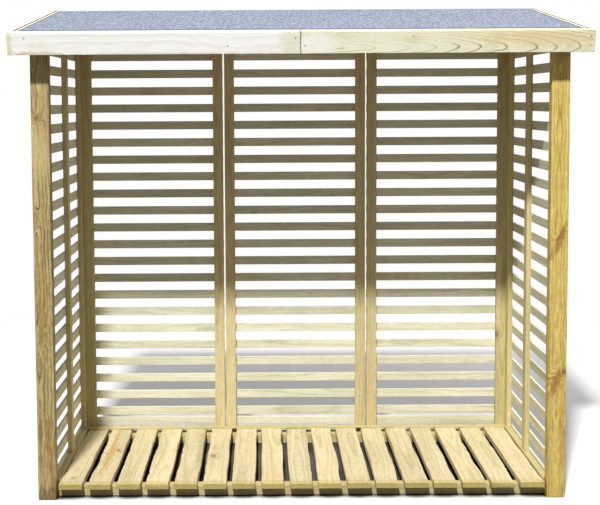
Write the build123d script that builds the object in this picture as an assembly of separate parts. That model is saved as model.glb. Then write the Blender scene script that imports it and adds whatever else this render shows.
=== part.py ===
"""Open fronted timber log store with slatted walls, a boarded floor and a felted pent roof.

Millimetres, +Z up. The open front faces -Y and the origin is on the ground, under the middle of the store.
"""
import os
from math import cos, radians, sin, tan

from build123d import *

# Width over the two front posts, and the clear depth between the posts and the back wall
store_width = 2070
bay_depth = 720

# Front posts
post_width = 70
post_depth = 45
post_chamfer = 2

# Stiles of the slatted panels
stile_width = 45
stile_thickness = 20

# Slats of the panels, spread over the height of the walls, and the board at each panel's foot
wall_height = 1745.7
slat_height = 38
slat_thickness = 12
slat_count = 21
foot_board_lift = 8
back_foot_board_height = 95
back_foot_gap = 11

# Back wall of three panels side by side
back_panel_names = ("left", "centre", "right")
panel_gap = 7

# Floor of boards on two joists
board_count = 17
board_width = 95
board_thickness = 22
board_edge_gap = 1
board_end_gap = 1
board_round = 2
joist_width = 45
joist_height = 40
rear_joist_setback = 10

# Sills under the side walls, and the cover strip that lies on the boards along the back wall
sill_width = 28
cover_strip_width = 34
cover_strip_thickness = 4

# Roof tray, laid out flat and then tilted up towards the back
side_overhang = 65
eaves_overhang = 85
rear_overhang = 45
roof_pitch = 9.5
fascia_height = 88
fascia_thickness = 20
fascia_round = 8
fascia_joint_gap = 1
bargeboard_round = 4
felt_recess = 3
felt_thickness = 3
felt_turndown = 40
deck_thickness = 12

# Rafters, and the timbers that carry them over the posts and the back wall
rafter_count = 4
rafter_width = 45
rafter_height = 38
bearer_depth = 45
bearer_height = 38
head_clearance = 2

# Places worked out across the width, from the middle
roof_width = store_width + 2 * side_overhang
post_outer_x = store_width / 2
wall_inner_x = post_outer_x - post_width
wall_slat_x = wall_inner_x + stile_thickness
wall_outer_x = wall_slat_x + slat_thickness
sill_inner_x = wall_slat_x - sill_width
roof_inner_x = roof_width / 2 - fascia_thickness

# Places worked out from front to back, from the front face of the posts
side_front_y = post_depth
back_stile_y = side_front_y + bay_depth
back_slat_y = back_stile_y + stile_thickness
back_outer_y = back_slat_y + slat_thickness
bearer_y = back_outer_y - bearer_depth
eaves_y = -eaves_overhang
roof_back_y = back_outer_y + rear_overhang

# Heights worked out from the ground up
floor_top = joist_height + board_thickness
sill_top = floor_top + cover_strip_thickness
back_foot_board_top = foot_board_lift + back_foot_board_height
lowest_slat_z = back_foot_board_top + back_foot_gap
slat_pitch = (wall_height - lowest_slat_z) / slat_count
slat_gap = slat_pitch - slat_height
side_foot_board_top = lowest_slat_z - slat_gap

# Levels across the thickness of the roof tray, square to its slope
felt_level = fascia_height - felt_recess - felt_thickness
deck_level = felt_level - deck_thickness
rafter_level = deck_level - rafter_height

# The tray in its tilted place, turned about the lower front edge of the fascia
pitch_angle = radians(roof_pitch)
roof_slope_length = (roof_back_y - eaves_y) / cos(pitch_angle)
eaves_height = wall_height + bearer_height - rafter_level / cos(pitch_angle) + eaves_y * tan(pitch_angle)
roof_front_y = eaves_y - (fascia_height - fascia_round) * sin(pitch_angle)
roof_front_y += fascia_round * cos(pitch_angle) - fascia_round
origin_y = (roof_front_y + roof_back_y) / 2
roof_place = Location((0, eaves_y, eaves_height), (roof_pitch, 0, 0))


def roof_height(y, level):
    """Return the height of a sloping roof level above one place from front to back."""
    return eaves_height + (y - eaves_y) * tan(pitch_angle) + level / cos(pitch_angle)


bearer_bottom = roof_height(bearer_y, rafter_level) - bearer_height


def block(x_range, y_range, z_range):
    """Return a squared timber between two limits along each axis."""
    centre = [(low + high) / 2 for low, high in (x_range, y_range, z_range)]
    size = [high - low for low, high in (x_range, y_range, z_range)]
    return Pos(*centre) * Box(*size)


def side_profile(outline, x_range):
    """Return a timber of one outline seen from the side, between two limits across the width."""
    face = make_face(Polyline(*[(0, y, z) for y, z in outline], close=True))
    low, high = x_range
    return Pos(low, 0, 0) * extrude(face, amount=high - low, dir=(1, 0, 0))


def mirrored(x_range, side):
    """Return a range across the width, on the right for side 1 and on the left for side -1."""
    return tuple(sorted(side * x for x in x_range))


def long_edges(timber, axis, lowest=-1):
    """Return the edges of a timber that run along an axis and lie above a height."""
    edges = timber.edges().filter_by(axis)
    return edges.filter_by(lambda edge: edge.center().Z > lowest)


def wall_boards(foot_board_top):
    """Return the limits in height of the foot board of a panel and of each slat above it."""
    boards = [(foot_board_lift, foot_board_top)]
    for number in range(slat_count):
        low = lowest_slat_z + number * slat_pitch
        boards.append((low, low + slat_height))
    return boards


nodes = {}

# Front posts, cut to one height under the header
for side_name, side in (("left", -1), ("right", 1)):
    post = block(mirrored((wall_inner_x, post_outer_x), side), (0, post_depth), (0, wall_height))
    nodes[f"front_post_{side_name}"] = chamfer(long_edges(post, Axis.Z), post_chamfer)

# Header over the posts and bearer over the back wall, planed on top to the slope of the roof
for bearer_name, front_y, depth, low_z in (
    ("front_header", 0, post_depth, wall_height),
    ("rear_bearer", bearer_y, bearer_depth, bearer_bottom),
):
    back_y = front_y + depth
    outline = [
        (front_y, low_z),
        (back_y, low_z),
        (back_y, roof_height(back_y, rafter_level)),
        (front_y, roof_height(front_y, rafter_level)),
    ]
    nodes[bearer_name] = side_profile(outline, (-roof_inner_x, roof_inner_x))

# Back wall: two stiles a panel on the inside, with the slats and end boards nailed on behind
panel_width = (2 * wall_inner_x - panel_gap * (len(back_panel_names) - 1)) / len(back_panel_names)
back_boards = wall_boards(back_foot_board_top) + [(wall_height, bearer_bottom)]
for number, panel_name in enumerate(back_panel_names):
    panel_left = -wall_inner_x + number * (panel_width + panel_gap)
    panel_right = panel_left + panel_width
    for side_name, stile_left in (("left", panel_left), ("right", panel_right - stile_width)):
        stile_x = (stile_left, stile_left + stile_width)
        stile = block(stile_x, (back_stile_y, back_slat_y), (0, bearer_bottom))
        nodes[f"back_{panel_name}_stile_{side_name}"] = stile
    slats = [block((panel_left, panel_right), (back_slat_y, back_outer_y), z) for z in back_boards]
    nodes[f"back_{panel_name}_slats"] = Compound(children=slats)

# Side walls: a sill, two stiles that stand on it, and slats outside from the post to the back corner
corner_stile_y = back_stile_y - stile_width
middle_stile_y = (side_front_y + corner_stile_y) / 2
middle_stile_back = middle_stile_y + stile_width
head_level = rafter_level - head_clearance
for side_name, side in (("left", -1), ("right", 1)):
    sill_x = mirrored((sill_inner_x, wall_slat_x), side)
    nodes[f"{side_name}_side_sill"] = block(sill_x, (side_front_y, back_stile_y), (0, sill_top))
    stile_x = mirrored((wall_inner_x, wall_slat_x), side)
    outline = [
        (middle_stile_y, sill_top),
        (middle_stile_back, sill_top),
        (middle_stile_back, roof_height(middle_stile_back, head_level)),
        (middle_stile_y, roof_height(middle_stile_y, head_level)),
    ]
    nodes[f"{side_name}_side_stile_middle"] = side_profile(outline, stile_x)
    corner_stile = block(stile_x, (corner_stile_y, back_slat_y), (sill_top, bearer_bottom))
    nodes[f"{side_name}_side_stile_rear"] = corner_stile
    slat_x = mirrored((wall_slat_x, wall_outer_x), side)
    slats = [block(slat_x, (side_front_y, back_outer_y), z) for z in wall_boards(side_foot_board_top)]
    head_outline = [
        (side_front_y, wall_height),
        (back_outer_y, wall_height),
        (back_outer_y, bearer_bottom),
        (bearer_y, bearer_bottom),
        (bearer_y, roof_height(bearer_y, head_level)),
        (side_front_y, roof_height(side_front_y, head_level)),
    ]
    slats.append(side_profile(head_outline, slat_x))
    nodes[f"{side_name}_side_slats"] = Compound(children=slats)

# Floor joists between the sills, under the two ends of the boards
joist_x = (-sill_inner_x, sill_inner_x)
front_joist_y = side_front_y
rear_joist_y = back_stile_y - rear_joist_setback - joist_width
for place, front_y in (("front", front_joist_y), ("rear", rear_joist_y)):
    nodes[f"floor_joist_{place}"] = block(joist_x, (front_y, front_y + joist_width), (0, joist_height))

# Floor boards, evenly spaced between the sills, flush with the posts in front, and their cover strip
floor_left = -sill_inner_x + board_edge_gap
board_pitch = (-2 * floor_left - board_width) / (board_count - 1)
for number in range(board_count):
    left = floor_left + number * board_pitch
    board_y = (0, back_stile_y - board_end_gap)
    board = block((left, left + board_width), board_y, (joist_height, floor_top))
    rounded = fillet(long_edges(board, Axis.Y, joist_height + board_thickness / 2), board_round)
    nodes[f"floor_board_{number + 1:02d}"] = rounded
cover_strip_y = back_stile_y - cover_strip_width
nodes["back_cover_strip"] = block(joist_x, (cover_strip_y, back_stile_y), (floor_top, sill_top))

# Roof tray: two fascia boards butted in front, a bargeboard at each end, and a lower board behind
fascia_y = (0, fascia_thickness)
fascia_z = (0, fascia_height)
tray_x = (-roof_inner_x, roof_inner_x)
for side_name, side in (("left", -1), ("right", 1)):
    fascia = block(mirrored((fascia_joint_gap / 2, roof_width / 2), side), fascia_y, fascia_z)
    front_arris = long_edges(fascia, Axis.X, fascia_height / 2).sort_by(Axis.Y)[0]
    nodes[f"fascia_{side_name}"] = roof_place * fillet(front_arris, fascia_round)
    bargeboard_x = mirrored((roof_inner_x, roof_width / 2), side)
    bargeboard = block(bargeboard_x, (fascia_thickness, roof_slope_length), fascia_z)
    top_edges = long_edges(bargeboard, Axis.Y, fascia_height / 2)
    outer_arris = top_edges.sort_by(Axis.X, reverse=side > 0)[0]
    nodes[f"bargeboard_{side_name}"] = roof_place * fillet(outer_arris, bargeboard_round)
rear_fascia_back = roof_slope_length - felt_thickness
rear_fascia_y = (rear_fascia_back - fascia_thickness, rear_fascia_back)
nodes["rear_fascia"] = roof_place * block(tray_x, rear_fascia_y, (0, felt_level))

# Rafters and deck inside the tray, and felt that runs over the rear fascia and turns down behind it
tray_y = (fascia_thickness, rear_fascia_y[0])
rafter_pitch = (2 * roof_inner_x - rafter_width) / (rafter_count - 1)
for number in range(rafter_count):
    left = -roof_inner_x + number * rafter_pitch
    rafter = block((left, left + rafter_width), tray_y, (rafter_level, deck_level))
    nodes[f"rafter_{number + 1}"] = roof_place * rafter
nodes["roof_deck"] = roof_place * block(tray_x, tray_y, (deck_level, felt_level))
felt_top = felt_level + felt_thickness
felt_sheet = block(tray_x, (fascia_thickness, roof_slope_length), (felt_level, felt_top))
felt_flap = block(tray_x, (rear_fascia_back, roof_slope_length), (felt_level - felt_turndown, felt_top))
nodes["roof_felt"] = roof_place * (felt_sheet + felt_flap)

os.makedirs("parts", exist_ok=True)
for name, shape in nodes.items():
    export_step(Pos(0, -origin_y, 0) * shape, f"parts/{name}.step")
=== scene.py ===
"""Looks of an open fronted timber log store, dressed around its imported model.

Metres, +Z up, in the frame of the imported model. The open front faces -Y.
"""
import logging
import math
import random
from dataclasses import dataclass, field
from enum import Enum
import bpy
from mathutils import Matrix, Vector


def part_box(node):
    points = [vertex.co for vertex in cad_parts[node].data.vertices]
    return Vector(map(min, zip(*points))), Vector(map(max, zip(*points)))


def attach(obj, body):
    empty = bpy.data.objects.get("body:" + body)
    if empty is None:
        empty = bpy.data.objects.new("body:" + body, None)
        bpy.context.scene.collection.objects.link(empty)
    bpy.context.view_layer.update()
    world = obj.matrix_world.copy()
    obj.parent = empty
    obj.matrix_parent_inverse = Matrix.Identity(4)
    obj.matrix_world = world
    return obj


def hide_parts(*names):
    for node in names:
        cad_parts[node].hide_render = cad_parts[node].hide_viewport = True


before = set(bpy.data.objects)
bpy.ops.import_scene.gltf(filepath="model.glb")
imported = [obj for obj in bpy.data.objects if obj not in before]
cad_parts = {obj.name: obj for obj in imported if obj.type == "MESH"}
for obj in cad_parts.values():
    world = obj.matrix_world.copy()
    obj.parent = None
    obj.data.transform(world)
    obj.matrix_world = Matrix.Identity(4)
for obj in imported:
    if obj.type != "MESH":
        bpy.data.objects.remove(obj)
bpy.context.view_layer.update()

from types import MappingProxyType
from typing import Iterable, Union

import bmesh
import bpy
from bmesh.types import BMEdge, BMesh, BMLayerItem, BMVert
from bpy.types import Material, Node, NodeSocket, NodeTree, Object
from mathutils import Matrix, Vector, noise

log = logging.getLogger("log_store")


class Side(Enum):
    """Which end of the store a piece is on, seen from the open front."""

    LEFT = "left"
    RIGHT = "right"


@dataclass(frozen=True)
class Colour:
    """A colour as it is seen on a screen, each part from 0 to 255."""

    red: int
    green: int
    blue: int

    def linear(self) -> tuple[float, float, float, float]:
        """Return the colour as linear light, opaque."""
        parts = [part / 255 for part in (self.red, self.green, self.blue)]
        lit = [p / 12.92 if p <= 0.04045 else ((p + 0.055) / 1.055) ** 2.4 for p in parts]
        return (lit[0], lit[1], lit[2], 1.0)


class Value:
    """A number that varies over a surface, with Python operators that add Math nodes."""

    def __init__(self, tree: "Tree", socket: NodeSocket) -> None:
        """Keep the output socket that carries the number."""
        self.tree = tree
        self.socket = socket

    def _math(self, operation: str, *values: "Operand") -> "Value":
        """Return the result of one Math node."""
        node = self.tree.add("ShaderNodeMath", {"operation": operation}, dict(enumerate(values)))
        return Value(self.tree, node.outputs[0])

    def __add__(self, other: "Operand") -> "Value":
        """Return the sum."""
        return self._math("ADD", self, other)

    __radd__ = __add__

    def __sub__(self, other: "Operand") -> "Value":
        """Return the difference."""
        return self._math("SUBTRACT", self, other)

    def __rsub__(self, other: "Operand") -> "Value":
        """Return the difference, from the right."""
        return self._math("SUBTRACT", other, self)

    def __mul__(self, other: "Operand") -> "Value":
        """Return the product."""
        return self._math("MULTIPLY", self, other)

    __rmul__ = __mul__

    def __truediv__(self, other: "Operand") -> "Value":
        """Return the quotient."""
        return self._math("DIVIDE", self, other)

    def __rtruediv__(self, other: "Operand") -> "Value":
        """Return the quotient, from the right."""
        return self._math("DIVIDE", other, self)

    def root(self) -> "Value":
        """Return the square root."""
        return self._math("SQRT", self)

    def fraction(self) -> "Value":
        """Return the part after the decimal point."""
        return self._math("FRACT", self)

    def below(self, limit: "Operand") -> "Value":
        """Return 1 where the value is under a limit, and 0 elsewhere."""
        return self._math("LESS_THAN", self, limit)

    def larger(self, other: "Operand") -> "Value":
        """Return the larger of two numbers."""
        return self._math("MAXIMUM", self, other)

    def ramp(
        self, low: "Operand", high: "Operand", start: float = 0.0, end: float = 1.0
    ) -> "Value":
        """Ease the value from one number to another.

        Args:
            low: the value at which the result is start.
            high: the value at which the result is end.
            start: the result at and before low.
            end: the result at and past high.

        Returns:
            The eased value, held at both ends.
        """
        node = self.tree.add(
            "ShaderNodeMapRange",
            {"interpolation_type": "SMOOTHSTEP"},
            {"Value": self, "From Min": low, "From Max": high, "To Min": start, "To Max": end},
        )
        return Value(self.tree, node.outputs["Result"])


Operand = Union[Value, float, int]
NOTHING = MappingProxyType({})


class Tree:
    """Adds nodes to the node tree of a material or of the world."""

    def __init__(self, tree: NodeTree) -> None:
        """Empty the tree."""
        self.tree = tree
        tree.nodes.clear()

    def add(self, kind: str, settings: dict = NOTHING, inputs: dict = NOTHING) -> Node:
        """Add one node.

        Args:
            kind: the node's type.
            settings: the node's own properties, set before its sockets.
            inputs: the value or link of each socket, by its name or number.

        Returns:
            The new node.
        """
        node = self.tree.nodes.new(kind)
        for name, setting in settings.items():
            setattr(node, name, setting)
        for key, given in inputs.items():
            if isinstance(given, Value):
                given = given.socket
            if isinstance(given, NodeSocket):
                self.tree.links.new(given, node.inputs[key])
            else:
                node.inputs[key].default_value = given
        return node

    def attribute(self, name: str, kind: str = "Vector") -> NodeSocket:
        """Return the vector, or the number with kind Fac, that a mesh keeps under a name."""
        return self.add("ShaderNodeAttribute", {"attribute_name": name}).outputs[kind]

    def place(self) -> NodeSocket:
        """Return the place on the object, in metres."""
        return self.add("ShaderNodeTexCoord").outputs["Object"]

    def split(self, vector: NodeSocket) -> tuple[Value, Value, Value]:
        """Return the three parts of a vector."""
        node = self.add("ShaderNodeSeparateXYZ", inputs={0: vector})
        return tuple(Value(self, out) for out in node.outputs)

    def join(self, x: Operand, y: Operand, z: Operand = 0.0) -> NodeSocket:
        """Return a vector made of three numbers."""
        return self.add("ShaderNodeCombineXYZ", inputs={0: x, 1: y, 2: z}).outputs[0]

    def noise(self, vector: NodeSocket, scale: float, detail: float = 2.0) -> Value:
        """Return smooth noise from 0 to 1 at an enlarged place, with finer layers added."""
        inputs = {"Vector": vector, "Scale": scale, "Detail": detail}
        return Value(self, self.add("ShaderNodeTexNoise", inputs=inputs).outputs["Fac"])

    def mix(self, share: Operand, first: object, second: object) -> NodeSocket:
        """Return the blend of two colours, or sockets of colours, with a share of the second."""
        pair = [c.linear() if isinstance(c, Colour) else c for c in (first, second)]
        inputs = {0: share, 6: pair[0], 7: pair[1]}
        return self.add("ShaderNodeMix", {"data_type": "RGBA"}, inputs).outputs[2]

    def shade(self, colour: NodeSocket, strength: Value) -> NodeSocket:
        """Return a colour made lighter or darker."""
        inputs = {0: colour, "Scale": strength}
        return self.add("ShaderNodeVectorMath", {"operation": "SCALE"}, inputs).outputs[0]

    def bump(self, height: Value, depth: float) -> NodeSocket:
        """Return the normal of a surface with a relief of a depth in metres."""
        inputs = {"Strength": 1.0, "Distance": depth, "Height": height}
        return self.add("ShaderNodeBump", inputs=inputs).outputs["Normal"]

    def cells(self, vector: NodeSocket, dimensions: str, scale: float) -> Node:
        """Return a Voronoi node, which splits a surface into cells."""
        settings = {"voronoi_dimensions": dimensions, "feature": "F1"}
        return self.add("ShaderNodeTexVoronoi", settings, {"Vector": vector, "Scale": scale})

    def seen(self) -> tuple[Value, Value]:
        """Return where the camera looks, and where it also looks by mirrors or through glass."""
        path = self.add("ShaderNodeLightPath")
        kinds = ("Camera", "Glossy", "Transmission")
        camera, glossy, clear = (Value(self, path.outputs[f"Is {kind} Ray"]) for kind in kinds)
        return camera, camera + glossy + clear

    def surface(self, shader: Node, kind: str = "ShaderNodeOutputMaterial") -> None:
        """Join a shader to the output."""
        self.add(kind, inputs={"Surface": shader.outputs[0]})

    def skin(self, inputs: dict) -> None:
        """Join a Principled shader with these inputs to the output."""
        self.surface(self.add("ShaderNodeBsdfPrincipled", inputs=inputs))

    def blend(self, share: Value, first: Node, second: Node) -> Node:
        """Return a shader that shows a share of the second of two."""
        inputs = {0: share, 1: first.outputs[0], 2: second.outputs[0]}
        return self.add("ShaderNodeMixShader", inputs=inputs)


def new_material(name: str) -> tuple[Material, Tree]:
    """Return a new material and its empty tree."""
    material = bpy.data.materials.new(name)
    material.use_nodes = True
    return material, Tree(material.node_tree)


@dataclass(frozen=True)
class Pattern:
    """Smooth noise with a rate of its own along each axis.

    Attributes:
        rates: how often it changes in a metre along each axis.
        detail: how many finer layers are added.
    """

    rates: tuple[float, ...]
    detail: float = 1.0

    def over(self, tree: Tree, *parts: Value) -> Value:
        """Return the noise, from 0 to 1, at a place that is given by its parts."""
        place = tree.join(*(part * rate for part, rate in zip(parts, self.rates)))
        return tree.noise(place, 1.0, self.detail)


# What strays in the wood: the rings' middle, the rings over a board and over a few centimetres
DRIFT = Pattern((1.1, 9.9))
STRAY = Pattern((7.0, 9.0, 9.0), 2.0)
WAVER = Pattern((24.0, 30.0, 30.0))

# What follows the rings, and what follows the fibres
BANDS = Pattern((0.9, 95.0, 7.0), 2.0)
HAIRS = Pattern((9.0, 330.0, 3.0))
FIBRES = Pattern((16.0, 900.0, 900.0))
CLOUD = Pattern((34.0, 80.0, 80.0), 2.0)
SPECKS = Pattern((90.0, 190.0, 190.0), 2.0)
BLOTCHES = Pattern((2.2, 9.0, 9.0), 3.0)
BLOTCH_SHIFT = 5.0 / 9.0

# Patterns of the felt and of the deck
LANES = Pattern((5.0, 0.6), 2.0)
PATCHES = Pattern((105.0, 42.0, 72.0), 2.0)
STRANDS = Pattern((14.0, 160.0, 160.0), 2.0)
STRAND_SHIFT = 4.0 / 14.0

# How strongly what follows shows, eased between two values of a pattern
LINE_RISE = 0.88
LINE_FALL = (0.9, 1.0, 1.0, 0.0)
LINE_FADE = (0.35, 0.65, 0.4, 1.0)
BAND_EASE = (0.3, 0.72)
HAIR_EASE = (0.5, 0.75)
GREEN_EASE = (0.42, 0.75, 0.0, 0.55)
HEART_EASE = (0.5, 0.2, 0.0, 0.35)

# How far from the middle the painted shade line along the inner top arris of both bargeboards is
RIM_SHADE_LINE = 1.0795

# Where the fronts of the posts and of the fascia are along Y, and how far stains go in
POST_FRONT = (-0.372, 0.06)
FASCIA_FRONT = (-0.46, 0.1)


@dataclass(frozen=True)
class Knot:
    """A knot at a place of its own on an upright timber.

    Attributes:
        across: where it is across the store.
        up: how high it is.
        size: half its width.
        length: half its height.
        slant: how far it leans sideways for each metre up.
        dark: how dark its core is, from 0 to 1.
    """

    across: float
    up: float
    size: float
    length: float
    slant: float = 0.0
    dark: float = 0.8


@dataclass(frozen=True)
class StainAndShade:
    """A soft patch of another tone at a place of its own, for real stains and also for painted
    shade, such as the dark line along the bargeboards.

    Attributes:
        place: the middle of the patch.
        reach: how far it reaches along X, Y and Z.
        colour: its tone.
        share: how strongly it shows, from 0 to 1.
        slant: how far it leans along X for each metre up.
    """

    place: tuple[float, float, float]
    reach: tuple[float, float, float]
    colour: Colour
    share: float
    slant: float = 0.0

    def cover(self, tree: Tree, ragged: Value) -> Value:
        """Return how much of the patch shows, with an edge that follows a noise about 0."""
        x, y, z = tree.split(tree.place())
        aside = (x - self.place[0] - (z - self.place[2]) * self.slant) / self.reach[0]
        depth = (y - self.place[1]) / self.reach[1]
        rise = (z - self.place[2]) / self.reach[2]
        reach = (aside * aside + depth * depth + rise * rise).root() + ragged * 1.2
        return reach.ramp(0.35, 1.1, self.share, 0.0)


def front_stains(front: tuple[float, float], *rows: tuple) -> tuple[StainAndShade, ...]:
    """Return stains on the front of a timber.

    Args:
        front: where the front is along Y, and how far the stains go in.
        rows: the X and Z of each stain, its reach along both, its colour, share and slant.

    Returns:
        The stains.
    """
    face, reach = front
    return tuple(StainAndShade((x, face, z), (w, reach, h), *look) for x, z, w, h, *look in rows)


@dataclass(frozen=True)
class TimberFinish:
    """Pressure treated softwood, cut from a log whose rings, knots and fibres run through it.

    Attributes:
        early: the pale wood between the rings.
        late: the dark wood of the rings.
        green: the tint of the preservative.
        heart: the warm tint of the heartwood.
        end: the damp wood of a sawn end.
        ring_gap: how far apart the rings are, in metres.
        line: how strongly the thin dark lines of the rings show.
        edge: where in a ring its dark line begins, from 0 to 1.
        band: how strongly broad bands of tone show.
        hair: how strongly fine lines between the rings show.
        mottle: how strongly the tone changes over a few millimetres.
        bend: how far the rings stray sideways, in metres.
        knot_gap: how far apart the places for knots are, along the timber.
        knot_row: how far apart they are across it.
        knot_size: the size of a knot.
        knot_share: the share of the places that have a knot.
        speck: how strongly the tone changes from fibre to fibre.
    """

    name: str
    early: Colour
    late: Colour
    green: Colour = Colour(168, 164, 104)
    heart: Colour = Colour(196, 150, 92)
    knot: Colour = Colour(138, 98, 56)
    end: Colour = Colour(186, 166, 84)
    ring_gap: float = 0.0075
    line: float = 0.45
    edge: float = 0.5
    band: float = 0.3
    hair: float = 0.15
    mottle: float = 0.16
    bend: float = 0.004
    knot_gap: float = 0.42
    knot_row: float = 0.11
    knot_size: float = 0.009
    knot_share: float = 0.16
    knots: tuple[Knot, ...] = ()
    stains_and_shade: tuple[StainAndShade, ...] = ()
    speck: float = 0.12
    roughness: float = 0.72

    def material(self) -> Material:
        """Return the finish, which reads the grain and board attributes of the timber."""
        material, tree = new_material(self.name)
        grain = tree.attribute("grain")
        place = along, across, deep = tree.split(grain)
        tint, damp, age = tree.split(tree.attribute("board"))
        cut = Value(tree, tree.attribute("cut_end", "Fac"))
        core, rim, swirl, push = self._knots(tree, grain)

        stray = (STRAY.over(tree, *place) - 0.5) * self.bend * 2.0
        drift = (DRIFT.over(tree, along, age) - 0.5) * 0.05
        radius = (across * across + deep * deep).root() + drift + stray + push
        waver = (WAVER.over(tree, *place) - 0.5) * self.bend * 0.5
        rings = ((radius + waver) / self.ring_gap).fraction()
        late = rings.ramp(self.edge, LINE_RISE) * rings.ramp(*LINE_FALL)
        bands = BANDS.over(tree, along, radius, age).ramp(*BAND_EASE)
        hairs = HAIRS.over(tree, along, radius, age).ramp(*HAIR_EASE)
        fibres, cloud, specks = (p.over(tree, *place) - 0.5 for p in (FIBRES, CLOUD, SPECKS))
        blotches = BLOTCHES.over(tree, along, across, deep + age * BLOTCH_SHIFT)

        lines = late * blotches.ramp(*LINE_FADE) * self.line
        wood = tree.mix(lines + bands * self.band + hairs * self.hair, self.early, self.late)
        wood = tree.mix(blotches.ramp(*GREEN_EASE) * (damp * 0.7 + 0.45), wood, self.green)
        wood = tree.mix(blotches.ramp(*HEART_EASE) * age, wood, self.heart)
        wood = tree.mix(swirl * 0.45, wood, self.late)
        # Real stains, and painted shade where a finish lists it, such as the bargeboards' dark
        # line
        for tone_patch in self.stains_and_shade:
            wood = tree.mix(tone_patch.cover(tree, cloud), wood, tone_patch.colour)
        wood = tree.mix(core, wood, self.knot)
        wood = tree.mix(cut * 0.6, wood, self.end)
        tone = tint * 0.08 + fibres * 0.14 + (cloud * self.mottle + specks * self.speck) * 2.0
        tree.skin(
            {
                "Base Color": tree.shade(wood, 1.0 + tone - cut * 0.08 - rim * 0.3),
                "Roughness": self.roughness + fibres * 0.16 + cut * 0.08,
                "IOR": 1.4,
                "Normal": tree.bump(late * 0.5 + fibres * 0.5 - core * 0.4, 0.0006),
            }
        )
        return material

    def _knots(self, tree: Tree, grain: NodeSocket) -> tuple[Value, Value, Value, Value]:
        """Scatter knots along the timber and add those that have a place of their own.

        Args:
            tree: the material's tree.
            grain: the place in the log.

        Returns:
            How much of a knot's core, dark rim and swirl shows, and how far it pushes rings aside.
        """
        along, across, _ = tree.split(grain)
        wobble = tree.noise(grain, 90.0, 1.0) - 0.5
        cell = tree.cells(tree.join(along / self.knot_gap, across / self.knot_row), "2D", 1.0)
        centre_along, centre_across, _ = tree.split(cell.outputs["Position"])
        chance, spread, _ = tree.split(cell.outputs["Color"])
        reach_along = (along - centre_along * self.knot_gap) * 0.7
        reach_across = across - centre_across * self.knot_row
        reach = (reach_along * reach_along + reach_across * reach_across).root()
        size = (0.45 + spread) * self.knot_size * chance.below(self.knot_share) + 0.00001
        ratio = (reach + wobble * 0.004) / size
        core = ratio.ramp(0.75, 1.0, 0.75, 0.0)
        rim = ratio.ramp(0.7, 0.95) * ratio.ramp(1.0, 1.3, 1.0, 0.0)
        swirl = ratio.ramp(0.6, 4.5, 1.0, 0.0)
        push = swirl * size * 1.5
        x, _, z = tree.split(tree.place())
        for knot in self.knots:
            rise = (z - knot.up) / knot.length
            aside = (x - knot.across - (z - knot.up) * knot.slant) / knot.size
            own = (rise * rise + aside * aside).root() + wobble * 0.5
            core = core.larger(own.ramp(0.5, 1.1, knot.dark, 0.0))
            swirl = swirl.larger(own.ramp(0.8, 2.2, knot.dark, 0.0))
            push = push + own.ramp(0.2, 3.2, 1.0, 0.0) * knot.size * 2.6
        return core, rim, swirl, push


@dataclass(frozen=True)
class FeltFinish:
    """Mineral roofing felt, a bitumen sheet under crushed slate, with painted shade as a dark band
    along its rims.
    """

    name: str = "roofing_felt"
    grit: Colour = Colour(132, 138, 158)
    blue_grit: Colour = Colour(158, 172, 190)
    dark_grit_and_shade: Colour = Colour(88, 95, 118)
    pale_grit: Colour = Colour(200, 206, 220)
    grain_rate: float = 420.0
    clump_rate: float = 130.0
    # Where the painted shade band along the front, and along each end, starts and ends
    front_shade_band: tuple[float, float] = (0.045, 0.085)
    end_shade_band: tuple[float, float] = (0.014, 0.026)
    relief: float = 0.0015
    roughness: float = 0.93

    def material(self, low: Vector, high: Vector) -> Material:
        """Return the finish of a sheet between two corners, which reads the place on it."""
        material, tree = new_material(self.name)
        place = tree.place()
        x, y, z = tree.split(place)
        grains = tree.noise(place, self.grain_rate)
        clumps = tree.noise(place, self.clump_rate)
        lanes = LANES.over(tree, x, y)
        patches = PATCHES.over(tree, x, y, z)
        colour = tree.mix(clumps.ramp(0.52, 0.3), self.grit, self.dark_grit_and_shade)
        colour = tree.mix(grains.ramp(0.52, 0.72), colour, self.pale_grit)
        colour = tree.mix(patches.ramp(0.38, 0.66, 0.0, 0.34), colour, self.blue_grit)
        colour = tree.shade(colour, 0.59 + lanes * 0.12 + patches.ramp(0.36, 0.64) * 0.52)
        # Painted shade: a dark band along the front and both ends, beside the raised fascia and
        # bargeboards, mixes in the dark grit
        start, end = self.front_shade_band
        front = y.ramp(low.y + start, low.y + end, 1.0, 0.0)
        start, end = self.end_shade_band
        ends = x.ramp(low.x + start, low.x + end, 1.0, 0.0) + x.ramp(high.x - end, high.x - start)
        rim_shade = front.larger(ends) * patches.ramp(0.25, 0.6, 0.6, 1.0)
        tree.skin(
            {
                "Base Color": tree.mix(rim_shade, colour, self.dark_grit_and_shade),
                "Roughness": self.roughness,
                "Normal": tree.bump(grains * 0.6 + clumps * 0.4, self.relief),
            }
        )
        return material


@dataclass(frozen=True)
class DeckFinish:
    """Exterior board of pressed strands, under the felt."""

    name: str = "roof_deck_board"
    pale: Colour = Colour(206, 176, 122)
    dark: Colour = Colour(158, 120, 72)
    strand_rate: float = 26.0
    relief: float = 0.0006
    roughness: float = 0.8

    def material(self) -> Material:
        """Return the finish, which reads the place on the board."""
        material, tree = new_material(self.name)
        place = tree.place()
        tone, turn, _ = tree.split(tree.cells(place, "3D", self.strand_rate).outputs["Color"])
        x, y, z = tree.split(place)
        fibres = STRANDS.over(tree, x + turn * STRAND_SHIFT, y, z)
        tree.skin(
            {
                "Base Color": tree.mix(tone * 0.6 + fibres * 0.4, self.pale, self.dark),
                "Roughness": self.roughness,
                "Normal": tree.bump(tone + fibres * 0.3, self.relief),
            }
        )
        return material


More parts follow.
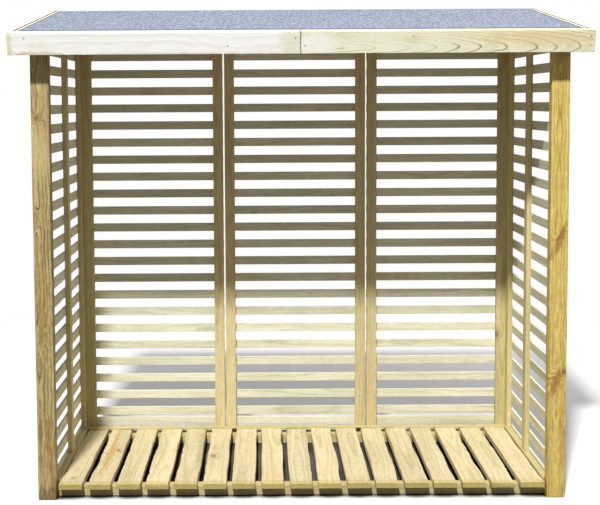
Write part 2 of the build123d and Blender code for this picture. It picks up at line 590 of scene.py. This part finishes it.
@dataclass(frozen=True)
class SteelFinish:
    """Dull galvanised steel of the nails."""

    name: str = "galvanised_steel"
    bright: Colour = Colour(150, 150, 146)
    dull: Colour = Colour(104, 102, 96)
    bloom_rate: float = 700.0
    metal: float = 0.85
    roughness: tuple[float, float] = (0.42, 0.62)

    def material(self) -> Material:
        """Return the finish, which reads the place on the nail."""
        material, tree = new_material(self.name)
        bloom = tree.noise(tree.place(), self.bloom_rate)
        tree.skin(
            {
                "Base Color": tree.mix(bloom, self.bright, self.dull),
                "Metallic": self.metal,
                "Roughness": bloom.ramp(0.2, 0.8, *self.roughness),
            }
        )
        return material


POST_KNOTS = (
    Knot(-1.0108, 1.501, 0.012, 0.009, slant=0.5, dark=0.5),
    Knot(-1.0347, 1.115, 0.012, 0.02, dark=0.25),
    Knot(-1.0086, 0.646, 0.008, 0.03, dark=0.2),
    Knot(1.0064, 1.042, 0.008, 0.045, slant=0.5, dark=0.65),
    Knot(1.0253, 0.5, 0.009, 0.01, dark=0.85),
    Knot(0.985, 0.455, 0.012, 0.035, slant=0.4, dark=0.3),
)
ORANGE = Colour(158, 108, 34)
TAN_POST = TimberFinish(
    "tan_post",
    Colour(196, 177, 120),
    Colour(108, 80, 42),
    green=Colour(158, 152, 94),
    heart=Colour(166, 120, 76),
    ring_gap=0.013,
    line=0.75,
    hair=0.5,
    mottle=0.36,
    bend=0.014,
    knot_share=0.0,
    knots=POST_KNOTS,
    stains_and_shade=front_stains(
        POST_FRONT,
        (-0.984, 0.16, 0.014, 0.3, ORANGE, 0.5, -0.1),
        (-1.022, 0.2, 0.008, 0.24, Colour(138, 102, 50), 0.5),
        (-1.0, 0.0, 0.06, 0.06, Colour(104, 84, 50), 0.7),
        (-1.0, 0.78, 0.03, 0.3, Colour(158, 124, 66), 0.4),
        (-1.0, 1.36, 0.04, 0.12, Colour(206, 190, 132), 0.5),
    ),
    speck=0.2,
)
GOLDEN_POST = TimberFinish(
    "golden_post",
    Colour(228, 204, 116),
    Colour(156, 116, 44),
    green=Colour(212, 192, 98),
    heart=Colour(208, 154, 76),
    ring_gap=0.012,
    line=0.6,
    hair=0.4,
    mottle=0.32,
    bend=0.011,
    knot_share=0.0,
    knots=POST_KNOTS,
    stains_and_shade=front_stains(
        POST_FRONT,
        (0.996, 1.0, 0.018, 0.08, ORANGE, 0.65, 0.5),
        (0.996, 0.46, 0.022, 0.07, ORANGE, 0.6, 0.35),
        (1.02, 0.28, 0.012, 0.22, Colour(196, 148, 66), 0.45),
    ),
    speck=0.18,
)
BLEACHED_FASCIA = TimberFinish(
    "bleached_fascia",
    Colour(255, 255, 253),
    Colour(222, 214, 182),
    green=Colour(244, 245, 224),
    heart=Colour(249, 236, 208),
    line=0.16,
    band=0.05,
    mottle=0.05,
    bend=0.008,
    ring_gap=0.016,
    knot_share=0.0,
    stains_and_shade=front_stains(
        FASCIA_FRONT,
        (-1.094, 1.78, 0.016, 0.08, Colour(222, 217, 152), 0.7),
        (-1.0, 1.738, 0.14, 0.014, Colour(206, 178, 136), 0.7),
        (-0.5, 1.736, 0.5, 0.01, Colour(214, 196, 160), 0.6),
        (-0.985, 1.76, 0.05, 0.03, Colour(240, 238, 214), 0.5),
        (-0.03, 1.77, 0.06, 0.08, Colour(230, 224, 182), 0.6),
        (0.0, 1.78, 0.005, 0.06, Colour(120, 96, 60), 0.8),
    ),
    speck=0.05,
)
PALE_BARGEBOARD = TimberFinish(
    "pale_bargeboard",
    Colour(247, 244, 222),
    Colour(176, 156, 104),
    green=Colour(230, 228, 186),
    heart=Colour(238, 218, 174),
    line=0.4,
    edge=0.6,
    band=0.12,
    mottle=0.08,
    ring_gap=0.009,
    knot_size=0.007,
    knot_share=0.12,
    # Painted shade: a dark line along each bargeboard's inner top arris, beside the felt batten
    stains_and_shade=tuple(
        StainAndShade((x, 0.0, 1.9), (0.0055, 2.0, 2.0), Colour(84, 70, 44), 0.95)
        for x in (-RIM_SHADE_LINE, RIM_SHADE_LINE)
    ),
    speck=0.06,
)
PLANED_FASCIA = TimberFinish(
    "planed_fascia",
    Colour(240, 236, 204),
    Colour(118, 96, 44),
    green=Colour(230, 228, 178),
    heart=Colour(236, 210, 154),
    line=1.0,
    edge=0.77,
    band=0.05,
    mottle=0.07,
    bend=0.005,
    knot_share=0.0,
    stains_and_shade=front_stains(
        FASCIA_FRONT,
        (0.0, 1.78, 0.005, 0.06, Colour(104, 80, 46), 0.9),
        (0.05, 1.77, 0.12, 0.06, Colour(250, 249, 238), 0.85),
        (0.35, 1.78, 0.3, 0.06, Colour(244, 242, 218), 0.6),
        (0.9, 1.79, 0.32, 0.04, Colour(232, 204, 146), 0.6),
        (0.42, 1.79, 0.06, 0.02, Colour(214, 208, 146), 0.5),
    ),
    speck=0.06,
)
SAWN_FLOOR = TimberFinish(
    "sawn_floor",
    Colour(228, 213, 173),
    Colour(184, 159, 106),
    green=Colour(190, 186, 138),
    heart=Colour(212, 166, 106),
    knot=Colour(150, 110, 68),
    ring_gap=0.012,
    line=0.4,
    mottle=0.18,
    stains_and_shade=(
        StainAndShade((-0.803, 0.05, 0.06), (0.02, 0.4, 0.1), Colour(200, 156, 82), 0.65),
        StainAndShade((-0.42, 0.02, 0.06), (0.022, 0.34, 0.1), Colour(172, 164, 116), 0.55),
        StainAndShade((-0.362, 0.09, 0.06), (0.014, 0.04, 0.1), Colour(188, 146, 84), 0.5),
        StainAndShade((0.0, -0.36, 0.05), (3.0, 0.035, 0.05), Colour(196, 178, 106), 0.6),
    ),
    speck=0.14,
)
PLANED_SLAT = TimberFinish(
    "planed_slat",
    Colour(232, 231, 211),
    Colour(186, 177, 141),
    green=Colour(186, 189, 153),
    line=0.4,
    mottle=0.12,
    knot_size=0.006,
)
PLANED_STILE = TimberFinish(
    "planed_stile",
    Colour(222, 208, 156),
    Colour(172, 146, 88),
    green=Colour(176, 174, 116),
    ring_gap=0.008,
    knot_size=0.008,
)


def placed(name: str, work: BMesh, material: Material) -> Object:
    """Put a finished mesh into the scene as an object, and use it up."""
    mesh = bpy.data.meshes.new(name)
    work.to_mesh(mesh)
    work.free()
    mesh.materials.append(material)
    thing = bpy.data.objects.new(name, mesh)
    bpy.context.scene.collection.objects.link(thing)
    return thing


def shown(name: str, work: BMesh, material: Material) -> Object:
    """Show a finished mesh as a piece of the store, held under the root body."""
    piece = placed(name, work, material)
    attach(piece, "root")
    return piece


def corners(verts: Iterable[BMVert]) -> tuple[Vector, Vector]:
    """Return the lowest and highest corner of the box round some vertices."""
    places = [vert.co for vert in verts]
    return tuple(Vector([end(co[i] for co in places) for i in range(3)]) for end in (min, max))


def islands(work: BMesh) -> list[list[BMVert]]:
    """Return the vertices of each separate solid of a mesh, lowest solid first."""
    left = set(work.verts)
    found = []
    while left:
        group = []
        front = [left.pop()]
        while front:
            vert = front.pop()
            group.append(vert)
            for edge in vert.link_edges:
                other = edge.other_vert(vert)
                if other in left:
                    left.remove(other)
                    front.append(other)
        found.append(group)
    return sorted(found, key=lambda group: [round(corners(group)[0][i], 4) for i in (2, 0, 1)])


def bevel(work: BMesh, edges: list[BMEdge], width: float, segments: int) -> None:
    """Round some edges of a mesh."""
    bmesh.ops.bevel(
        work,
        geom=edges,
        offset=width,
        offset_type="OFFSET",
        affect="EDGES",
        segments=segments,
        profile=0.5,
        material=-1,
        clamp_overlap=True,
    )


def grain_layers(work: BMesh) -> list[BMLayerItem]:
    """Return new layers for the place in the log and for the mood of the board."""
    return [work.verts.layers.float_vector.new(name) for name in ("grain", "board")]


@dataclass(frozen=True)
class Wave:
    """A smooth random wave along an edge.

    Attributes:
        rate: how often it swings in a metre.
        row: which of the many waves it is.
        lift: how far it is lifted.
    """

    rate: float
    row: float
    lift: float = 0.0

    def height(self, place: float, turn: float) -> float:
        """Return the wave's height at a place on an edge that has a number of its own."""
        return noise.noise(Vector((place * self.rate, turn, self.row))) + self.lift


EDGE_WAVE = Wave(5.0, 0.3)
BARK_WAVE = Wave(4.5, 4.1, 0.12)
CHIP_WAVE = Wave(26.0, 9.7, -0.18)
MERGE_GAP = 0.00002
CUT_GAP = 0.00001
LOG_LENGTH = 40


@dataclass
class Timber:
    """The timbers of one node, with worked arrises, wandering edges and grain of their own.

    Attributes:
        arris: the width of the worn arrises.
        step: how far apart the cross cuts are that let the edges wander.
        wander: how far the edges wander inwards.
        wane: how far bark edge eats into the upper arrises.
        tilt: the slope of the timber about the X axis, in radians.
        pith: how far the middle of the log lies from the timber.
        taper: how fast the middle of the log leaves the timber along it.
        boxes: the lowest and highest corner of each timber, once they are built.
    """

    node: str
    slot: str
    arris: float = 0.0012
    step: float = 0.05
    wander: float = 0.0004
    wane: float = 0.0
    tilt: float = 0.0
    pith: tuple[float, float] = (0.02, 0.07)
    taper: float = 0.0
    boxes: list[tuple[Vector, Vector]] = field(default_factory=list)

    def build(self, material: Material) -> None:
        """Build the timbers in a finish, and hide the node."""
        work = bmesh.new()
        work.from_mesh(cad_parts[self.node].data)
        bmesh.ops.remove_doubles(work, verts=work.verts, dist=MERGE_GAP)
        flat = math.radians(1)
        bmesh.ops.dissolve_limit(work, angle_limit=flat, verts=work.verts, edges=work.edges)
        level = Matrix.Rotation(-self.tilt, 3, "X")
        self._soften(work)
        bmesh.ops.transform(work, matrix=level.to_4x4(), verts=work.verts)
        low, high = corners(islands(work)[0])
        axis = max(range(3), key=lambda i: high[i] - low[i])
        self._slice(work, axis)
        self._grain(work, axis)
        bmesh.ops.transform(work, matrix=level.transposed().to_4x4(), verts=work.verts)
        work.normal_update()
        piece = shown(f"{self.node}_timber", work, material)
        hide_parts(self.node)
        log.info("%s: %d solids, %d faces", piece.name, len(self.boxes), len(piece.data.polygons))

    def _soften(self, work: BMesh) -> None:
        """Round the sharp arrises."""
        corner = math.radians(60)
        sharp = [e for e in work.edges if e.is_manifold and e.calc_face_angle(0) > corner]
        bevel(work, sharp, self.arris, 2)

    def _slice(self, work: BMesh, axis: int) -> None:
        """Cut the timbers across at even steps, without parting them."""
        low, high = corners(work.verts)
        count = max(1, round((high[axis] - low[axis]) / self.step))
        normal = Vector([1.0 if i == axis else 0.0 for i in range(3)])
        for number in range(1, count):
            place = normal * (low[axis] + (high[axis] - low[axis]) * number / count)
            geom = work.verts[:] + work.edges[:] + work.faces[:]
            bmesh.ops.bisect_plane(work, geom=geom, plane_co=place, plane_no=normal, dist=CUT_GAP)

    def _grain(self, work: BMesh, axis: int) -> None:
        """Give each solid its own grain, and let its edges wander."""
        grain, board = grain_layers(work)
        cut = work.faces.layers.float.new("cut_end")
        near, far = self.pith
        for number, group in enumerate(islands(work)):
            dice = random.Random(f"{self.node} {number}")
            low, high = corners(group)
            self.boxes.append((low, high))
            middle = (low + high) / 2
            spans = high - low
            wide, thin = sorted((i for i in range(3) if i != axis), key=lambda i: -spans[i])
            along = dice.uniform(0, LOG_LENGTH)
            start = Vector((along, dice.uniform(-0.5, 0.5) * far, dice.uniform(near, far)))
            mood = Vector((dice.uniform(-1, 1), dice.random(), dice.random()))
            flip = dice.choice((-1, 1))
            for vert in group:
                local = vert.co - middle
                through = local[thin] * flip + local[axis] * self.taper
                vert[grain] = Vector((local[axis], local[wide], through)) + start
                vert[board] = mood
                self._wander(vert, local, spans, (axis, wide, thin), start.x)
        for face in work.faces:
            face[cut] = 1.0 if abs(face.normal[axis]) > 0.7 else 0.0

    def _wander(
        self, vert: BMVert, local: Vector, spans: Vector, axes: tuple[int, int, int], seed: float
    ) -> None:
        """Move a vertex inwards where the edge of its timber wanders or has wane.

        Args:
            vert: the vertex.
            local: its place, from the middle of its timber.
            spans: the size of the timber.
            axes: the numbers of the axes along, across and through the timber.
            seed: a number of the timber's own.
        """
        axis, wide, thin = axes
        side = local[wide] / (spans[wide] / 2)
        place = local[axis]
        turn = seed + (7.0 if side > 0 else 0.0)
        vert.co[wide] -= side * self.wander * (EDGE_WAVE.height(place, turn) * 0.5 + 0.5)
        if self.wane and abs(side) > 0.9:
            bark = max(0.0, BARK_WAVE.height(place, turn))
            chips = max(0.0, CHIP_WAVE.height(place, turn))
            depth = self.wane * min(1.0, bark * 1.3 + chips * 0.9)
            top = local[thin] / (spans[thin] / 2) * 0.5 + 0.5
            vert.co[wide] -= math.copysign(depth * (0.35 + 0.65 * top), side)
            vert.co[thin] -= depth * 0.35 * top


@dataclass
class Nails:
    """Round nail heads that stand a little proud of a face.

    Attributes:
        facing: the outward direction of the face.
        places: the middle of each head, on the face.
        crown: the radius at a head's top, as a share of the one at its foot.
        sunk: how far its foot lies under the face.
    """

    name: str
    facing: Vector
    places: list[Vector]
    radius: float = 0.0035
    crown: float = 0.82
    height: float = 0.0008
    sunk: float = 0.0002
    sides: int = 10

    def build(self, material: Material, slot: str) -> None:
        """Build the heads as one piece, in a finish."""
        turn = Vector((0, 0, 1)).rotation_difference(self.facing).to_matrix().to_4x4()
        work = bmesh.new()
        for place in self.places:
            middle = place + self.facing * (self.height - self.sunk) / 2
            bmesh.ops.create_cone(
                work,
                cap_ends=True,
                segments=self.sides,
                radius1=self.radius,
                radius2=self.radius * self.crown,
                depth=self.height + self.sunk,
                matrix=Matrix.Translation(middle) @ turn,
            )
        bmesh.ops.recalc_face_normals(work, faces=work.faces)
        shown(self.name, work, material)
        log.info("%s: %d heads", self.name, len(self.places))


class FrontPosts:
    """The two front posts."""

    def build(self) -> None:
        """Build both posts."""
        for side, finish in ((Side.LEFT, TAN_POST), (Side.RIGHT, GOLDEN_POST)):
            node = f"front_post_{side.value}"
            post = Timber(node, "post_timber", wander=0.0006, pith=(0.012, 0.045))
            post.build(finish.material())


@dataclass
class Walls:
    """The slatted back wall of three panels and the two slatted side walls."""

    panels: tuple[str, ...] = ("left", "centre", "right")
    side_places: tuple[str, ...] = ("middle", "rear")
    slat_height: float = 0.038
    two_nails_from: float = 0.05
    head_board_from: float = 0.1

    def build(self, steel: Material) -> None:
        """Build the stiles, the slats outside them and the nails, in their finish."""
        slat_finish = PLANED_SLAT.material()
        stile_finish = PLANED_STILE.material()
        finishes = (slat_finish, stile_finish, steel)
        for panel in self.panels:
            stiles = [f"back_{panel}_stile_{side.value}" for side in Side]
            self._panel(f"back_{panel}", stiles, Vector((0, 1, 0)), finishes)
        for side in Side:
            facing = Vector((-1 if side is Side.LEFT else 1, 0, 0))
            stiles = [f"{side.value}_side_stile_{place}" for place in self.side_places]
            self._panel(f"{side.value}_side", stiles, facing, finishes)
            Timber(f"{side.value}_side_sill", "frame_timber").build(stile_finish)

    def _panel(
        self, name: str, stiles: list[str], facing: Vector, finishes: tuple[Material, ...]
    ) -> None:
        """Build one panel.

        Args:
            name: the start of the panel's node names.
            stiles: the nodes of its stiles.
            facing: the direction that its slats face outwards.
            finishes: the materials of its slats, stiles and nails.
        """
        slat_finish, stile_finish, steel = finishes
        for node in stiles:
            Timber(node, "frame_timber").build(stile_finish)
        slats = Timber(f"{name}_slats", "slat_timber", arris=0.0018)
        slats.build(slat_finish)
        run = 0 if facing.y else 1
        face = 1 - run
        places = []
        for low, high in slats.boxes:
            outer = high[face] if facing[face] > 0 else low[face]
            tall = high.z - low.z
            reach = self.slat_height if tall > self.head_board_from else tall
            for node in stiles:
                stile_low, stile_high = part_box(node)
                for row in (0.5,) if tall < self.two_nails_from else (0.25, 0.75):
                    spot = Vector((0, 0, low.z + reach * row))
                    spot[run] = (stile_low[run] + stile_high[run]) / 2
                    spot[face] = outer
                    places.append(spot)
        Nails(f"{name}_nails", facing, places).build(steel, "slat_timber")


@dataclass
class Floor:
    """The boards of the floor, the joists that carry them and the strip at the back wall."""

    joists: tuple[str, ...] = ("front", "rear")
    arris: float = 0.001
    step: float = 0.012
    wander: float = 0.0012
    wane: float = 0.007

    def build(self) -> None:
        """Build the boards, joists and strip."""
        board_finish = SAWN_FLOOR.material()
        joist_finish = PLANED_STILE.material()
        for node in sorted(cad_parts):
            if node.startswith("floor_board_"):
                edge = (self.arris, self.step, self.wander, self.wane)
                Timber(node, "floor_timber", *edge).build(board_finish)
        for place in self.joists:
            Timber(f"floor_joist_{place}", "frame_timber").build(joist_finish)
        Timber("back_cover_strip", "frame_timber", arris=0.0008).build(joist_finish)


@dataclass
class Roof:
    """The felted roof in its tray of fascia boards, and the timbers that carry it.

    Attributes:
        fascia_flat: the height of the fascia's flat front, under its round arris.
        batten_gap: how far the battens on the felt lie from the bargeboards.
        batten_short: how far they end before the felt does.
        nail_spots: how far across, and how high on the fascia, each of its nails is.
    """

    pitch: float = math.radians(9.5)
    rafters: int = 4
    fascia_flat: float = 0.08
    fascia_round: float = 0.008
    batten_width: float = 0.01
    batten_thickness: float = 0.0016
    batten_arris: float = 0.0006
    batten_gap: float = 0.003
    batten_short: float = 0.006
    nail_spots: tuple[tuple[float, float], ...] = (
        (-1.088, 0.014),
        (-1.035, 0.062),
        (-0.274, 0.03),
        (-0.02, 0.058),
        (0.016, 0.03),
        (0.42, 0.062),
        (1.084, 0.058),
        (1.084, 0.026),
    )

    def build(self, steel: Material) -> None:
        """Build the tray, its timbers and its nails, in their finish, and dress felt and deck."""
        right_finish = PLANED_FASCIA.material()
        rough_finish = PLANED_STILE.material()
        pale_finish = PALE_BARGEBOARD.material()
        tilt = self.pitch
        Timber("fascia_left", "fascia_timber", tilt=tilt).build(BLEACHED_FASCIA.material())
        right = Timber("fascia_right", "fascia_timber", tilt=tilt, pith=(0.05, 0.052), taper=0.075)
        right.build(right_finish)
        for name in ("bargeboard_left", "bargeboard_right", "rear_fascia"):
            Timber(name, "fascia_timber", tilt=tilt).build(pale_finish)
        for number in range(self.rafters):
            Timber(f"rafter_{number + 1}", "frame_timber", tilt=tilt).build(rough_finish)
        for name in ("front_header", "rear_bearer"):
            Timber(name, "frame_timber").build(rough_finish)
        self._dress("roof_felt", FeltFinish().material(*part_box("roof_felt")))
        self._dress("roof_deck", DeckFinish().material())
        for side in Side:
            self._felt_batten(side, pale_finish)
        self._nails(steel)

    def _felt_batten(self, side: Side, material: Material) -> None:
        """Lay the thin batten, in a finish, that holds the felt down at one end of the roof."""
        foot, length = self._felt_run()
        sign = -1 if side is Side.LEFT else 1
        middle = sign * (abs(foot.x) - self.batten_gap - self.batten_width / 2)
        length -= self.batten_short * 2
        work = bmesh.new()
        bmesh.ops.create_cube(work, size=1.0)
        size = (self.batten_width, length, self.batten_thickness)
        bmesh.ops.scale(work, verts=work.verts, vec=size)
        bevel(work, work.edges[:], self.batten_arris, 1)
        grain, board = grain_layers(work)
        for vert in work.verts:
            vert[grain] = Vector((vert.co.y + 3.0 * sign, vert.co.x, vert.co.z + 0.04))
            vert[board] = Vector((0.4, 0.3, 0.3))
        rise = Vector((0.0, length / 2 + self.batten_short, self.batten_thickness / 2))
        slope = Matrix.Rotation(self.pitch, 4, "X")
        foot.x = middle
        place = Matrix.Translation(foot) @ slope @ Matrix.Translation(rise)
        bmesh.ops.transform(work, matrix=place, verts=work.verts)
        shown(f"felt_batten_{side.value}", work, material)
        log.info("felt_batten_%s: %.3f m long", side.value, length)

    def _felt_run(self) -> tuple[Vector, float]:
        """Return a front corner of the felt's upper face, and its length down the slope."""
        slope = Matrix.Rotation(self.pitch, 3, "X")
        upright = slope @ Vector((0, 0, 1))
        places = [vert.co.copy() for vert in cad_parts["roof_felt"].data.vertices]
        upper = max(co.dot(upright) for co in places)
        top = [co for co in places if co.dot(upright) > upper - 0.0002]
        runs = [co.dot(slope @ Vector((0, 1, 0))) for co in top]
        return min(top, key=lambda co: co.y), max(runs) - min(runs)

    def _dress(self, node: str, material: Material) -> None:
        """Give a node of the model a finish, without a change to its shape."""
        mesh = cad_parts[node].data
        mesh.materials.clear()
        mesh.materials.append(material)
        log.info("%s: dressed", node)

    def _nails(self, steel: Material) -> None:
        """Nail the front fascia to the bargeboards and to the rafter ends."""
        low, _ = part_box("fascia_left")
        slope = Matrix.Rotation(self.pitch, 3, "X")
        upright = slope @ Vector((0, 0, 1))
        lean = self.fascia_flat * math.sin(self.pitch)
        foot_y = low.y + lean + self.fascia_round * (1 - math.cos(self.pitch))
        places = [Vector((x, foot_y, low.z)) + upright * height for x, height in self.nail_spots]
        heads = Nails("fascia_nails", slope @ Vector((0, -1, 0)), places, 0.0028, height=0.0005)
        heads.build(steel, "fascia_timber")


@dataclass(frozen=True)
class Lamp:
    """A soft square lamp, hung at angles in degrees to the right of the front and up."""

    name: str
    side: float
    height: float
    distance: float
    size: float
    power: float

    def build(self, aim: Vector) -> None:
        """Hang the lamp so that it shines at its aim."""
        light = bpy.data.lights.new(f"studio_{self.name}", "AREA")
        light.shape = "SQUARE"
        light.size = self.size
        light.energy = self.power
        side, height = math.radians(self.side), math.radians(self.height)
        level = math.cos(height)
        away = Vector((math.sin(side) * level, -math.cos(side) * level, math.sin(height)))
        holder = bpy.data.objects.new(light.name, light)
        holder.location = aim + away * self.distance
        holder.rotation_euler = away.to_track_quat("Z", "Y").to_euler()
        bpy.context.scene.collection.objects.link(holder)


@dataclass
class Studio:
    """A pale floor, soft lamps and a camera at the photograph's viewing angle."""

    image_width: float = 600.0
    image_height: float = 505.0
    focal_pixels: float = 1100.0
    centre_pixels: tuple[float, float] = (263.0, 180.2)
    sensor_width: float = 36.0
    camera_place: tuple[float, float, float] = (-0.1399, -4.6002, 1.5557)
    yaw: float = -0.0011
    down: float = 0.0706
    roll: float = -0.0057
    aim: tuple[float, float, float] = (0.0, 0.0, 0.7)
    lamps: tuple[Lamp, ...] = (
        Lamp("key", side=-12, height=52, distance=16.0, size=0.9, power=3250.0),
        Lamp("fill", side=25, height=18, distance=9.0, size=6.0, power=15.0),
        Lamp("back", side=142, height=30, distance=10.0, size=6.0, power=420.0),
    )
    sky: float = 0.16
    floor_half: float = 30.0
    floor_sink: float = 0.0005
    floor_fade: tuple[float, float] = (1.2, 4.5)
    floor_shown: Colour = Colour(246, 246, 246)
    floor_bounce: Colour = Colour(128, 128, 128)
    floor_painted_shade: Colour = Colour(66, 62, 56)
    painted_shade_reach: float = 0.25

    def build(self) -> None:
        """Build the floor, the world, the lamps and the camera."""
        self._floor()
        self._world()
        for lamp in self.lamps:
            lamp.build(Vector(self.aim))
        self._camera()
        bpy.context.scene.view_settings.view_transform = "Standard"

    def _floor(self) -> None:
        """Lay a pale floor that fades to white far from the store, with painted shade where the
        store covers it.
        """
        work = bmesh.new()
        bmesh.ops.create_grid(work, x_segments=2, y_segments=2, size=self.floor_half)
        bmesh.ops.translate(work, verts=work.verts, vec=(0.0, 0.0, -self.floor_sink))
        material, tree = new_material("studio_floor")
        x, y, _ = tree.split(tree.place())
        away = (x * x + y * y).root().ramp(*self.floor_fade)
        camera, seen = tree.seen()
        # Painted shade: ambient occlusion darkens the floor's colour under and close to the store
        inputs = {"Distance": self.painted_shade_reach}
        covered = tree.add("ShaderNodeAmbientOcclusion", {"samples": 16}, inputs)
        open_sky = Value(tree, covered.outputs["AO"])
        tone = tree.mix(camera, self.floor_bounce, self.floor_shown)
        tone = tree.mix(open_sky.ramp(0.6, 0.2), tone, self.floor_painted_shade)
        matt = tree.add("ShaderNodeBsdfDiffuse", inputs={"Color": tone})
        white = tree.add("ShaderNodeEmission", inputs={"Strength": 1.0})
        tree.surface(tree.blend(away * seen, matt, white))
        placed("studio_floor", work, material)

    def _world(self) -> None:
        """Light the store evenly, under a background that is seen as white."""
        world = bpy.data.worlds.new("studio")
        world.use_nodes = True
        bpy.context.scene.world = world
        tree = Tree(world.node_tree)
        _, seen = tree.seen()
        light, white = (
            tree.add("ShaderNodeBackground", inputs={"Color": (1.0, 1.0, 1.0, 1.0), "Strength": s})
            for s in (self.sky, 1.0)
        )
        tree.surface(tree.blend(seen, light, white), "ShaderNodeOutputWorld")

    def _camera(self) -> None:
        """Stand the camera where the photograph was taken from."""
        data = bpy.data.cameras.new("photo_camera")
        data.sensor_width = self.sensor_width
        data.lens = self.focal_pixels / self.image_width * self.sensor_width
        data.shift_x = (self.image_width / 2 - self.centre_pixels[0]) / self.image_width
        data.shift_y = (self.centre_pixels[1] - self.image_height / 2) / self.image_width
        level = math.cos(self.down)
        turned, facing = math.sin(self.yaw), math.cos(self.yaw)
        ahead = Vector((turned * level, facing * level, -math.sin(self.down)))
        right = Vector((facing, -turned, 0.0))
        up = right.cross(ahead)
        tilted_right = right * math.cos(self.roll) + up * math.sin(self.roll)
        tilted_up = up * math.cos(self.roll) - right * math.sin(self.roll)
        turn = Matrix((tilted_right, tilted_up, -ahead)).transposed()
        camera = bpy.data.objects.new("photo_camera", data)
        camera.matrix_world = Matrix.Translation(self.camera_place) @ turn.to_4x4()
        bpy.context.scene.collection.objects.link(camera)
        bpy.context.scene.camera = camera


def main() -> None:
    """Build and dress the store in order."""
    logging.basicConfig(level=logging.INFO, format="%(message)s")
    steel = SteelFinish().material()
    FrontPosts().build()
    Walls().build(steel)
    Floor().build()
    Roof().build(steel)
    Studio().build()
    bpy.context.view_layer.update()


if __name__ == "__main__":
    main()
